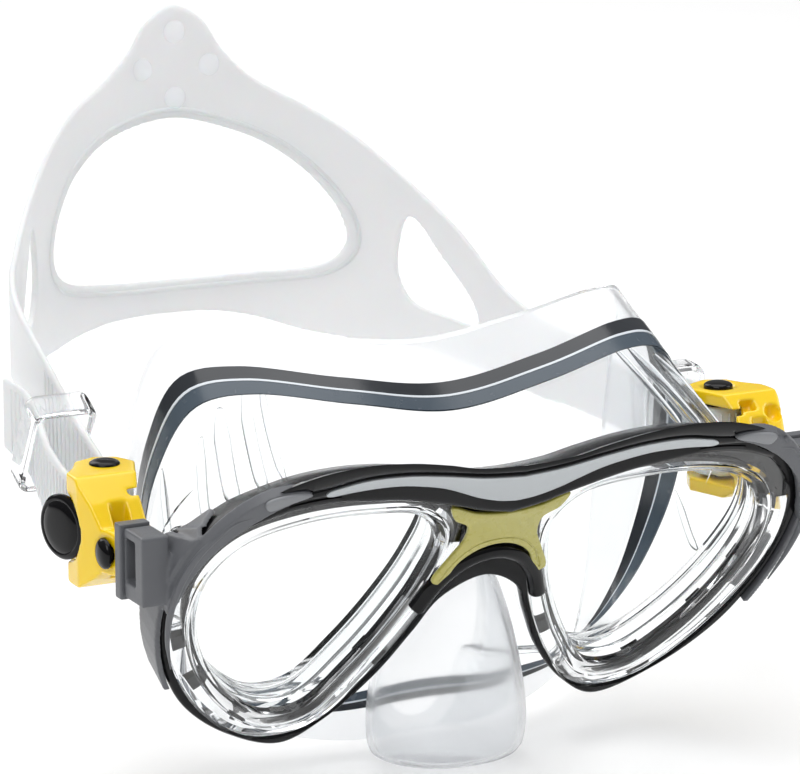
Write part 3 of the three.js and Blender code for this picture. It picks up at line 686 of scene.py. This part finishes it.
def make_brow():
    across = np.linspace(-66.5, 66.5, 261)
    edges = [heights(line, across) for line in (BROW_LOW, INLAY_LOW, INLAY_TOP, BROW_TOP)]
    rings = []
    for x, *levels in zip(across, *edges):
        rings.append([(x, v, w) for v, w in brow_section(*levels)])
    spears = [prism(offset(outline, GAP), 0.9, 6) for outline in both_lenses(bracket_outline)]
    add_piece("brow_shell", cut(loft(rings), *spears), LENS_PLANE, gloss_black, "mask",
              ["brow_cover"], 50)


def make_inlay():
    """The satin bar in the brow's groove, low and crowned, with round ends."""
    round_end, fit, floor_depth = 2.2, 0.94, 3.4
    section = [(-1, 0), (-1, 0.35), (-0.96, 0.5), (-0.88, 0.56), (-0.4, 0.62)]
    section += [(-share, lift) for share, lift in reversed(section)]
    across = INLAY_END * np.sin(np.linspace(-math.pi / 2, math.pi / 2, 181))
    rings = []
    for x, low, high in zip(across, heights(INLAY_LOW, across), heights(INLAY_TOP, across)):
        left = max(INLAY_END - abs(x), 0.001)
        closing = math.sqrt(left * (2 * round_end - min(left, round_end))) / round_end
        half = (high - low) / 2 * min(1, closing) * fit
        rings.append([(x, (low + high) / 2 + half * share, floor_depth + lift)
                      for share, lift in section])
    add_piece("silver_bar", loft(rings), LENS_PLANE, silver, "mask", ["brow_inlay"], 50)


def make_trim():
    """The bridge trim, with a fine groove that follows its lower edge, and the arch over the nose."""
    plain = plate([spline(both_halves(TRIM_OUTLINE), True, 220)], 1.2, 2.4, 0.45)
    groove = swept_rod(at_depth(spline(TRIM_GROOVE, False, 80), 2.45), 0.28)
    add_piece("olive_cross", cut(plain, groove), LENS_PLANE, olive, "mask", ["bridge_trim"], 40)
    arch = swept_rod(at_depth(spline(NOSE_ARCH, False, 90), 0.6), 2.1)
    add_piece("nose_arch", arch, LENS_PLANE, gloss_black, "mask")


# ---------------------------------------------------------------- skirt

def lens_points(points, depth):
    return [LEAN @ Vector((u, v, depth)) for u, v in points]


def skirt_ring(t, depth):
    """The skirt's outline at a share of the way to the face: straight back first, then outwards."""
    start = lens_points(SKIRT_START, depth)
    straight = lens_points(SKIRT_START, depth - 9)
    swing = t * t * (3 - 2 * t) * (1 - 0.35 * (1 - t))
    half = []
    for near, far, seal in zip(start, straight, SEAL_POINTS):
        half.append(tuple(near.lerp(far, t).lerp(Vector(seal), swing)))
    return spline(both_halves(half), True, SKIRT_AROUND)


def drawn_in(ring, distance, shift=0.0):
    """A ring drawn in towards its middle, and shifted towards the face."""
    spoke = ring - ring.mean(axis=0)
    spoke /= np.linalg.norm(spoke, axis=1)[:, None]
    return ring - spoke * distance + np.array([0, shift, 0])


def nose_solid(inset, lift):
    """The nose pocket, drawn in all round by the inset and at both ends by the lift."""
    low, high = NOSE_SECTIONS[0][0] + lift, NOSE_SECTIONS[-1][0] - lift
    rings = []
    for z, half, front, back in spline(NOSE_SECTIONS, False, 30):
        middle = (front + back) / 2
        level = min(max(z, low), high)
        rings.append([((half - inset) * c, middle + (middle - front - inset) * s, level)
                      for c, s in circle(64)])
    return loft(rings)


def make_skirt():
    steps = np.linspace(0, 1, 41)
    rings = [skirt_ring(t, FRAME_BACK - GAP) for t in steps]
    hollow = [drawn_in(skirt_ring(t, FRAME_BACK - GAP - WALL), WALL) for t in steps]
    past_face = 12
    hollow.append(drawn_in(rings[-1], WALL * 0.8, past_face))
    body = combined(loft(rings, fan=True), [nose_solid(0, 0)], "UNION")
    windows = [moved(prism(outline, -22, -8), LEAN) for outline in both_lenses(offset(lens, 0.6))]
    body = cut(body, loft(hollow, fan=True), nose_solid(WALL, WALL), *windows)
    skirt = add_piece("skirt_shell", body, PART, [clear_soft, hazy_soft], "mask", ["skirt"], 50)
    haze_skirt(skirt.data)
    make_stripe(rings)
    make_pleats(rings)


def haze_skirt(mesh):
    """The nose pocket and the free flange, from the stripe to the face, are frosted."""
    rings = [skirt_ring(t, FRAME_BACK - GAP) for t in (HAZE_START, HAZE_START + 0.04)]
    near, far = [np.array([PART @ Vector(p) for p in ring]) for ring in rings]
    middle = near.mean(axis=0)
    outward = (far - near).mean(axis=0)
    outward /= np.linalg.norm(outward)
    centres = np.empty(len(mesh.polygons) * 3)
    mesh.polygons.foreach_get("center", centres)
    centres = centres.reshape(-1, 3)
    spoke = np.arctan2(near[:, 2] - middle[2], near[:, 0] - middle[0])
    order = np.argsort(spoke)
    angle = np.arctan2(centres[:, 2] - middle[2], centres[:, 0] - middle[0])
    limit = np.interp(angle, spoke[order], near[order, 1], period=2 * math.pi)
    outwards = LEAN.to_3x3().col[2]
    ahead = centres @ np.array(outwards) * 1000 + SEAL_CENTRE.dot(outwards)
    nose = ahead > FRAME_BACK + 0.2
    mesh.polygons.foreach_set("material_index", ((centres[:, 1] > limit) | nose).astype(np.int32))


def between(rings, share):
    """A ring at a share of the way to the face; the share may differ round the ring."""
    stack = np.array(rings)
    where = np.clip(share, 0, 1) * (len(rings) - 1)
    low = np.minimum(where.astype(int), len(rings) - 2)
    rest = (where - low)[:, None]
    around = np.arange(SKIRT_AROUND)
    return stack[low, around] * (1 - rest) + stack[low + 1, around] * rest


def skirt_strip(rings, low, high, out):
    """A thin strip laid on the skirt between two shares; it lies nearer the face at the temples."""
    temple_x, temple_z, spread, most = 58, 93, 26, 0.085
    away = np.array([abs(abs(p[0]) - temple_x) + abs(p[2] - temple_z) for p in rings[-1]])
    rise = most * np.exp(-(away / spread) ** 2)
    lines = [between(rings, rise + share) for share in np.linspace(low, high, 8)]
    sections = []
    for i in range(SKIRT_AROUND):
        outline = np.array([line[i] for line in lines])
        middle = np.mean([line.mean(axis=0) for line in lines], axis=0)
        spoke = outline - middle
        spoke /= np.linalg.norm(spoke, axis=1)[:, None]
        sections.append(np.concatenate([outline + spoke * out, (outline - spoke * 0.3)[::-1]]))
    return loft(sections, closed=True)


def make_stripe(rings):
    """The dark moulded band round the skirt: two tones with a fine bright line between them."""
    for name, low, high, out, look in (
        ("skirt_stripe", 0.5, 0.566, 0.22, slate_soft),
        ("skirt_stripe_line", 0.564, 0.574, 0.36, pale_soft),
        ("skirt_stripe_edge", 0.572, 0.64, 0.3, dark_soft),
    ):
        add_piece(name, skirt_strip(rings, low, high, out), PART, look, "mask", (), 50)


def make_pleats(rings):
    """Thickened folds that stiffen the skirt beside each temple: where, from, to, and how thick."""
    folds = []
    stack = np.array(rings)
    for around, first, last, thick in (
        (29, 3, 27, 0.9), (32, 1, 25, 1.5), (36, 1, 23, 1.9),
        (40, 2, 20, 1.2), (47, 4, 22, 1.0), (60, 6, 20, 0.9),
    ):
        for index, slip in ((around, -5), (SKIRT_AROUND - around, 5)):
            share = np.linspace(0, 1, last - first)
            bend = index + slip * share ** 2
            low = bend.astype(int)
            rest = (bend - low)[:, None]
            steps = np.arange(first, last)
            path = stack[steps, low] * (1 - rest) + stack[steps, low + 1] * rest
            spoke = path - stack[steps].mean(axis=1)
            spoke /= np.linalg.norm(spoke, axis=1)[:, None]
            path = path - spoke * (WALL * 0.75)
            radius = thick * np.clip(4 * np.minimum(share, 1 - share) + 0.1, 0, 1) ** 0.5
            folds.append(swept_rod(path, radius, 14))
    add_piece("skirt_pleats", joined(*folds), PART, clear_soft, "mask", (), 60)


# ---------------------------------------------------------------- side brackets

def make_brackets():
    """Each bracket: a notched shell, a paler spear over the brow, a raised ridge, a thin black slab
    painted as the shade of a recess, and its lug.
    """
    spear = plate([spline(BRACKET_SPEAR, True, 60)], 4.1, 5.1, 0.4)
    path = at_depth(spline(BRACKET_RIDGE, False, 70), 4.25)
    ridge = swept_rod(path, 0.75 * np.sin(np.linspace(0.12, math.pi - 0.12, len(path))) + 0.1, 12)
    # A thin black slab beside the bracket is painted shade standing for a recess; no recess is cut.
    shade_slab = block((84.3, -26.8, 52.2), (84.9, -21.8, 61.8))
    for side, k in SIDES.items():
        place = on_side(LENS_PLANE, k)
        notches = [moved(prism(notch, 2.6, 8), TO_MILLIMETRES @ place) for notch in BRACKET_NOTCHES]
        shell = softened(cut(cad_copy("side_bracket_" + side), *notches), 0.36, 2)
        add_piece("bracket_" + side, shell, TO_METRES, grey, "mask", ["side_bracket_" + side], 40)
        add_piece("spear_" + side, spear, place, pale_grey, "mask")
        add_piece("bracket_ridge_" + side, ridge, place, grey, "mask")
        # The recess's painted shade: a black slab, mirrored to each side.
        add_piece("bracket_painted_shade_" + side, shade_slab, on_side(PART, k), black, "mask")
        lug = softened(cad_copy("bracket_lug_" + side), 0.3, 3)
        add_piece("lug_" + side, lug, TO_METRES, grey, "mask", ["bracket_lug_" + side], 60)


# ---------------------------------------------------------------- buckles

def buckle_place(k):
    return on_side(PART, k) @ Matrix.Translation(ROLLER_CENTRE)


def along_button(mesh):
    turn = Matrix.Rotation(-BUCKLE_YAW, 4, "Z") @ Matrix.Rotation(math.pi / 2, 4, "Y")
    return moved(mesh, Matrix.Translation(BUTTON_CENTRE) @ turn)


def along_pivot(mesh):
    return moved(mesh, Matrix.Translation(PIVOT) @ Matrix.Rotation(math.pi / 2, 4, "Y"))


def fluted_roller():
    """A roller with plain ends, fluted between them, on an open bore."""
    bore = 2.1
    half = [(8.1, ROLLER_RADIUS - 0.1, FLUTE_DEPTH), (8.2, ROLLER_RADIUS, 0),
            (8.8, ROLLER_RADIUS, 0), (ROLLER_HALF, ROLLER_RADIUS - 0.3, 0)]
    sections = [(-z, radius, depth) for z, radius, depth in reversed(half)] + half
    angles = np.linspace(0, 2 * math.pi, 96, endpoint=False)
    rings = []
    for z, radius, depth in sections:
        reach = radius - depth * (0.5 + 0.5 * np.cos(FLUTES * angles))
        rings.append(np.column_stack([reach * np.cos(angles), reach * np.sin(angles),
                                      np.full(len(angles), z)]))
    for z in (ROLLER_HALF, -ROLLER_HALF):
        rings.append([(bore * c, bore * s, z) for c, s in circle(len(angles))])
    return loft(rings, closed=True)


def spring_coil():
    turns, wire, radius, start, length, steps = 2.5, 0.28, 2.6, -2.75, 0.5, 80
    rings = []
    for step in range(steps + 1):
        angle = step / steps * turns * 2 * math.pi
        x, y, z = math.cos(angle), math.sin(angle), start + step / steps * length
        rings.append([(x * (radius + wire * c), y * (radius + wire * c), z + wire * s)
                      for c, s in circle(10)])
    return loft(rings)


def button_shape():
    """A round push button: a stem, a flange, a rolled edge, a fine groove and a low crown."""
    return lathe([(0, -2.9), (1.6, -2.9), (1.6, -2.2), (6.7, -2.2), (7.3, -1.9), (7.5, -1.4),
                  (7.45, -0.8), (7.1, -0.4), (6.5, -0.15), (6.2, -0.2), (6.0, -0.3),
                  (5.8, -0.2), (5.2, 0.1), (3.6, 0.33), (1.8, 0.42), (0, 0.45)])


def pivot_shape():
    shank = lathe([(0, -2.6), (1.8, -2.6), (2, -2.4), (2, 8.5), (0, 8.5)])
    return joined(shank, moved(lathe(dome(3.5, 1.5, 0, 0.4)), Matrix.Translation((0, 0, 8.3))))


def axle_shape():
    """The roller's axle with a low domed cap on each end."""
    end = HUB_OUTER + GAP
    cap = moved(lathe(dome(3.5, 1.1, -0.6, 0.1)), Matrix.Translation((0, 0, HUB_OUTER)))
    return joined(lathe([(0, -end), (1.8, -end), (1.8, end), (0, end)]), cap,
                  moved(cap, Matrix.Rotation(math.pi, 4, "X")))


def buckle_cutters():
    """A slanted slot, a shallow dish round each cap, and a thumb scoop by each end."""
    slot = moved(block((-1.9, -1.5, -3), (1.9, 1.5, 3)), Matrix.Rotation(math.radians(38), 4, "X"),
                 Matrix.Translation((1.6, -11.4, 10.4)))
    dish = lathe([(0, 11.7), (3.7, 11.7), (4.3, 12.3), (4.5, 13.4), (0, 13.4)])
    arc = [(math.cos(a), math.sin(a)) for a in np.linspace(-1.4, 1.4, 12)]
    ball = lathe([(0, -1), *arc, (0, 1)], 40)
    scoops = [moved(ball, Matrix.Diagonal((2.3, 2.6, 4.2, 1)), Matrix.Rotation(lean, 4, "X"),
                    Matrix.Translation(middle))
              for lean, middle in ((0.6, (7.6, -13.9, 9.2)), (-0.6, (7.6, -13.6, -12)))]
    return [slot, dish, moved(dish, Matrix.Rotation(math.pi, 4, "X")), *scoops]


def finish_node(node, look):
    """Gives a CAD node that stays in view its material."""
    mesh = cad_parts[node].data
    mesh.materials.clear()
    mesh.materials.append(look)


def make_buckles():
    cutters = buckle_cutters()
    inside = [
        ("pivot_dome_", along_pivot(pivot_shape()), gloss_black, "buckle_", "pivot_pin_"),
        ("roller_axle_", axle_shape(), gloss_black, "buckle_", "roller_pin_"),
        ("fluted_roller_", fluted_roller(), dark_metal, "roller_", "roller_"),
        ("button_face_", along_button(button_shape()), gloss_black, "button_", "release_button_"),
        ("button_coil_", along_button(spring_coil()), dark_metal, "button_", "button_spring_"),
    ]
    for side, k in SIDES.items():
        place = buckle_place(k)
        cuts = [moved(cutter, TO_MILLIMETRES @ place) for cutter in cutters]
        shell = softened(cut(cad_copy("buckle_body_" + side), *cuts), 0.34, 11)
        add_piece("buckle_shell_" + side, shell, TO_METRES, yellow, "buckle_" + side,
                  ["buckle_body_" + side], 60)
        for name, mesh, look, body, node in inside:
            add_piece(name + side, mesh, place, look, body + side, [node + side])
        finish_node("pawl_" + side, black)
        finish_node("pawl_pin_" + side, dark_metal)


# ---------------------------------------------------------------- headband

def wrap_stations(k):
    """The strap's way round the roller, from the head side forwards and out to its free end."""
    low, high = ROLLER_CENTRE.z - ROLLER_HALF + 0.4, ROLLER_CENTRE.z + ROLLER_HALF - 0.4
    stations = []
    for angle in np.linspace(math.pi, 2 * math.pi, 13):
        stations.append((k * (ROLLER_CENTRE.x + WRAP_RADIUS * math.cos(angle)),
                         ROLLER_CENTRE.y + WRAP_RADIUS * math.sin(angle), low, high))
    return stations


def band_lines(count):
    """Stations along the whole headband, and the outward direction at each."""
    right = [*BAND_RIGHT, *wrap_stations(1), *TAIL_RIGHT]
    left = [*BAND_LEFT, *wrap_stations(-1), *TAIL_LEFT][::-1]
    stations = np.array([*left, BAND_PEAK, *right])
    line = spline(stations, False, count)
    along = np.gradient(line[:, :2], axis=0)
    outward = np.stack([along[:, 1], -along[:, 0]], axis=1)
    outward /= np.linalg.norm(outward, axis=1)[:, None]
    return line, outward


def band_skin(line, outward):
    """The strap before its openings are cut: a flat section with round edges."""
    half = BAND_THICKNESS / 2
    rings = []
    for (x, y, low, high), (ox, oy) in zip(line, outward):
        ring = []
        for centre, start in ((high - half, 0.0), (low + half, math.pi)):
            for angle in np.linspace(start, start + math.pi, 9):
                reach = half * math.cos(angle)
                ring.append((x + ox * reach, y + oy * reach, centre + half * math.sin(angle)))
        rings.append(ring)
    return loft(rings)


def band_openings():
    """Cutters for the split at the back and for the opening on each side."""
    big = moved(prism(spline(BIG_HOLE, True, 160), -160, -100), UPRIGHT)
    small = moved(prism(spline(SMALL_HOLE, True, 80), -12, 12), UPRIGHT)
    yaw = 0.9
    right = moved(small, Matrix.Rotation(-yaw, 4, "Z"), Matrix.Translation((56.5, 109.5, 80.5)))
    left = moved(mirrored(small), Matrix.Rotation(yaw, 4, "Z"),
                 Matrix.Translation((-56.5, 109.5, 87)))
    return [big, right, left]


def make_headband():
    line, outward = band_lines(900)
    band = softened(cut(band_skin(line, outward), *band_openings()), 0.55, 4)
    add_piece("headband_shell", band, PART, frosted, "strap", ["headband"], 60)
    make_ribs(line, outward)
    make_beads(line)
    make_domes()


def make_domes():
    """Four low round pads at the top of the band, on its inner face."""
    pad = moved(lathe(dome(3.0, 1.1, -0.6, 0.1)), UPRIGHT)
    pads = []
    for x, z in ((0, 142), (0, 125), (9.5, 133), (-9.5, 133)):
        pads.append(moved(pad, Matrix.Translation((x, 145.4 - 0.006 * x * x, z))))
    add_piece("headband_domes", joined(*pads), PART, hazy_soft, "strap")


def make_ribs(line, outward):
    """Fine upright ribs along both faces of the strap, where the rollers grip it."""
    margin, radius, last_y, inner_x = 1.6, 0.22, 44, 70
    ribs = []
    reach = np.concatenate([[0], np.cumsum(np.linalg.norm(np.diff(line[:, :2], axis=0), axis=1))])
    for distance in np.arange(2, reach[-1] - 2, RIB_PITCH):
        x, y, low, high = [np.interp(distance, reach, column) for column in line.T]
        out_x, out_y = [np.interp(distance, reach, column) for column in outward.T]
        if y > last_y or abs(x) < inner_x:
            continue
        for face in (-BAND_THICKNESS / 2, BAND_THICKNESS / 2):
            foot = (x + face * out_x, y + face * out_y)
            ribs.append(swept_rod([(*foot, low + margin), (*foot, high - margin)], radius, 8))
    add_piece("headband_ribs", joined(*ribs), PART, frosted, "strap")


def make_beads(line):
    """A raised bead round the split at the back, on both faces of the band."""
    back = line[np.abs(line[:, 0]) < 68]
    back = back[back[:, 1] > 70]
    order = np.argsort(back[:, 0])
    stand_off, radius, sunk = 2.3, 0.75, 0.6
    outline = offset(spline(BIG_HOLE, True, 160), stand_off)
    beads = []
    for face in (-sunk, sunk):
        depth = np.interp(outline[:, 0], back[order, 0], back[order, 1]) + face
        path = np.column_stack([outline[:, 0], depth, outline[:, 1]])
        beads.append(swept_rod(np.vstack([path, path[:1]]), radius, 12))
    add_piece("headband_beads", joined(*beads), PART, frosted, "strap")


def rounded_loop(width, height, depth, wall):
    """A rounded rectangular loop of strip, open along Y; width and height are half sizes."""
    radius = 3.2
    rings = []
    for cx, cz, start in ((width, height, 0), (-width, height, 90), (-width, -height, 180),
                          (width, -height, 270)):
        x = math.copysign(abs(cx) - radius, cx)
        z = math.copysign(abs(cz) - radius, cz)
        for angle in np.radians(np.linspace(start, start + 90, 9)):
            ring = []
            for c, s in circle(24):
                flat, tall = [abs(v) ** 0.5 * math.copysign(1, v) for v in (c, s)]
                reach = radius - wall / 2 + wall / 2 * flat
                ring.append((x + math.cos(angle) * reach, depth / 2 * tall,
                             z + math.sin(angle) * reach))
            rings.append(ring)
    return loft(rings, closed=True)


def make_keepers():
    """A clear loop round each strap: its side, height, tilt to the strap, and slot height."""
    for side, k, z, rise, height in (("right", 1, 58.8, 0.06, 20.4), ("left", -1, 70, 0.5, 21)):
        loop = rounded_loop(8, height / 2 + 1.6, 7, 1.7)
        place = PART @ Matrix.Translation((81.5 * k, 33, z)) @ Matrix.Rotation(rise, 4, "X")
        add_piece("keeper_" + side, loop, place, clear_hard, "strap", ["strap_keeper_" + side])


# ---------------------------------------------------------------- studio

CAMERA_PLACE = (-0.45192, -0.89311, 0.27926)
CAMERA_YAW, CAMERA_DIP = 26.983, 13.999
CAMERA_LENS = 197.979


def shade_world(tree):
    """A soft tent: bright overhead, dim towards the horizon."""
    where = tree.nodes.new("ShaderNodeTexCoord")
    split = tree.nodes.new("ShaderNodeSeparateXYZ")
    ramp = tree.nodes.new("ShaderNodeValToRGB")
    ramp.color_ramp.elements[0].position = 0.0
    ramp.color_ramp.elements[0].color = (0.3, 0.3, 0.31, 1)
    ramp.color_ramp.elements[1].position = 0.85
    ramp.color_ramp.elements[1].color = (1, 1, 1, 1)
    tree.links.new(where.outputs["Generated"], split.inputs["Vector"])
    tree.links.new(split.outputs["Z"], ramp.inputs["Fac"])
    tree.links.new(ramp.outputs["Color"], tree.nodes["Background"].inputs["Color"])
    tree.nodes["Background"].inputs["Strength"].default_value = 0.45


def make_floor():
    reach, level = 12.0, cad_box[0][2] - 0.002
    mesh = bpy.data.meshes.new("floor")
    corners = [(-reach, -reach), (reach, -reach), (reach, reach), (-reach, reach)]
    mesh.from_pydata([(x, y, level) for x, y in corners], [], [(0, 1, 2, 3)])
    mesh.materials.append(surface("floor", "floor", (0.97, 0.97, 0.97), (0.95, 0.95, 0.95),
                                  0.7, 0.05, 8, 0.02))
    floor = bpy.data.objects.new("floor", mesh)
    bpy.context.scene.collection.objects.link(floor)


def make_lamps():
    """Four soft lamps aimed at the mask: name, place, size in metres and power in watts."""
    for name, place, size, power in (
        ("key", (-1.0, -0.9, 1.6), 1.3, 17), ("top", (0.2, 0.3, 1.9), 1.8, 20),
        ("fill", (1.5, -0.5, 0.9), 1.0, 8), ("back", (-0.4, 1.6, 1.1), 1.2, 10),
    ):
        light = bpy.data.lights.new(name, "AREA")
        light.size = size
        light.energy = power
        lamp = bpy.data.objects.new(name, light)
        lamp.location = place
        lamp.rotation_euler = (-Vector(place)).to_track_quat("-Z", "Y").to_euler()
        bpy.context.scene.collection.objects.link(lamp)


def make_camera():
    """A long lens a metre off, from the front and left, a little above."""
    camera = bpy.data.cameras.new("camera")
    camera.sensor_width = 36
    camera.lens = CAMERA_LENS
    camera.clip_start = 0.05
    eye = bpy.data.objects.new("camera", camera)
    turn = Matrix.Rotation(math.radians(-CAMERA_YAW), 4, "Z")
    tilt = Matrix.Rotation(math.radians(90 - CAMERA_DIP), 4, "X")
    eye.matrix_world = Matrix.Translation(CAMERA_PLACE) @ turn @ tilt
    bpy.context.scene.collection.objects.link(eye)
    bpy.context.scene.camera = eye


def make_studio():
    scene = bpy.context.scene
    scene.view_settings.view_transform = "Standard"
    world = bpy.data.worlds.new("studio")
    world.use_nodes = True
    shade_world(world.node_tree)
    scene.world = world
    make_floor()
    make_lamps()
    make_camera()


make_black_rim()
make_clear_rims()
make_lenses()
make_brow()
make_inlay()
make_trim()
make_skirt()
make_brackets()
make_buckles()
make_headband()
make_keepers()
make_studio()
